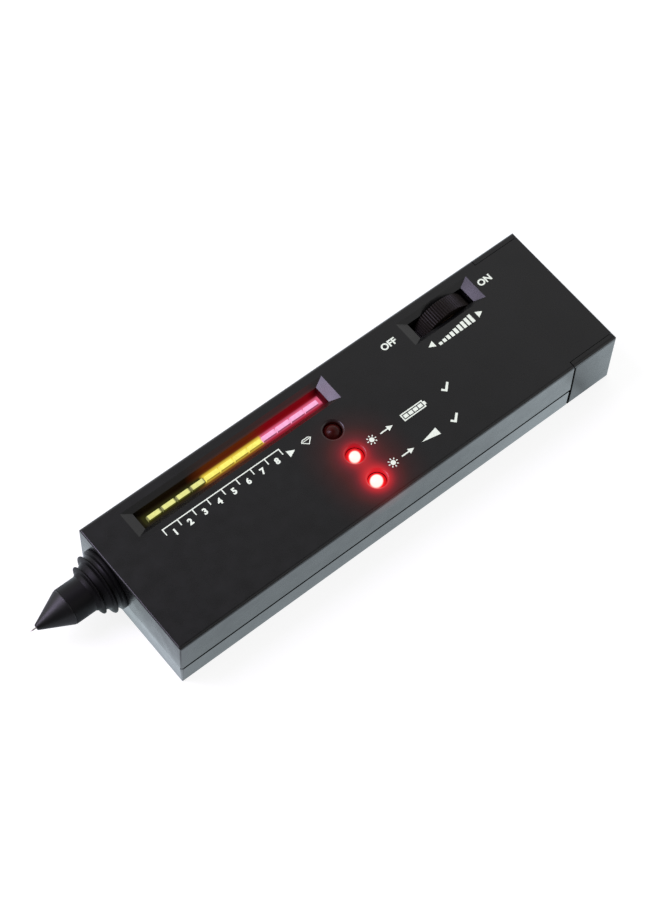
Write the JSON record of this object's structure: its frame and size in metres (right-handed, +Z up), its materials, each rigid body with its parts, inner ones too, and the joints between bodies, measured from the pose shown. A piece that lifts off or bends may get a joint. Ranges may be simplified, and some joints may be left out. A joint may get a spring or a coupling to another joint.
{
  "type": "diamond tester",
  "caption": "Handheld diamond tester: flat black case with a lit bar scale, three lamps, a volume thumbwheel, a slide-off battery cover and a sprung heated needle in a ringed nose.",
  "frame": {"origin": "on the surface that the tester lies on, under the middle of its overall box", "axes": "+X from the needle's point towards the battery end, +Y towards the side with the light bar and the thumbwheel, +Z up out of the deck"},
  "size_m": [0.1704, 0.0428, 0.0211],
  "materials": {
    "case_plastic": "fine-grained moulded black",
    "case_plastic_lower": "satin moulded black",
    "nose_plastic": "matt black with turned rings",
    "cone_plastic": "polished black",
    "wheel_plastic": "ribbed black",
    "holder_plastic": "matt black",
    "screw_steel": "bright zinc",
    "needle_metal": "drawn wire",
    "brass_turned": "turned",
    "spring_steel": "bright spring wire",
    "battery_can": "plain painted can",
    "stud_metal": "plated",
    "snap_vinyl": "soft black",
    "lead_plastic": "soft red insulation",
    "foam": "open black foam",
    "board": "green solder mask",
    "chip_black": "moulded epoxy",
    "leg_tin": "tinned",
    "capacitor_sleeve": "dark blue sleeve",
    "resistor_body": "beige lacquer",
    "trimmer_blue": "moulded blue",
    "buzzer_black": "moulded black",
    "pot_body": "brown laminate",
    "segment_green": "lit diffuser",
    "segment_yellow": "lit diffuser",
    "segment_red": "lit diffuser",
    "lamp_off": "unlit red epoxy",
    "lamp_lit": "lit red epoxy",
    "heater_ceramic": "pale moulded bead"
  },
  "bodies": {
    "case": {"top_shell": "case_plastic", "bottom_shell": "case_plastic_lower", "case_screws": "screw_steel", "battery": "battery_can", "battery_studs": "stud_metal", "battery_snap": "snap_vinyl", "battery_leads": "lead_plastic", "volume_pot": "pot_body", "pot_leads": "lead_plastic", "main_board": "board", "board_screws": "screw_steel", "light_holder": "holder_plastic", "segments_green": "segment_green", "segments_yellow": "segment_yellow", "segments_red": "segment_red", "alert_lamp": "lamp_off", "battery_lamp": "lamp_lit", "ready_lamp": "lamp_lit", "lamp_spacers": "holder_plastic", "chips": "chip_black", "chip_legs": "leg_tin", "capacitors": "capacitor_sleeve", "resistors": "resistor_body", "trimmers": "trimmer_blue", "buzzer": "buzzer_black", "transistors": "chip_black", "probe_collar": "nose_plastic", "collar_nut": "brass_turned", "probe_cone": "cone_plastic", "spring_seat": "brass_turned", "probe_spring": "spring_steel", "probe_leads": "lead_plastic"},
    "volume_wheel": {"thumb_wheel": "wheel_plastic", "pot_spindle": "brass_turned", "wheel_screw": "screw_steel"},
    "cover": {"battery_cover": "case_plastic_lower", "cover_foam": "foam"},
    "needle": {"probe_needle": "needle_metal", "needle_plunger": "brass_turned", "heater_element": "heater_ceramic"}
  },
  "joints": [
    {"name": "wheel_turn", "type": "hinge", "parent": "case", "child": "volume_wheel", "pos_m": [0.05455, 0.0141, 0.0121], "axis": [0, 1, 0], "range_deg": [-250, 30]},
    {"name": "cover_slide", "type": "slide", "parent": "case", "child": "cover", "axis": [1, 0, 0], "range_m": [0, 0.03]},
    {"name": "needle_press", "type": "slide", "parent": "case", "child": "needle", "axis": [1, 0, 0], "range_m": [0, 0.0012], "stiffness_N_per_m": 150, "springref_m": -0.001, "deforming": ["probe_spring"]}
  ]
}
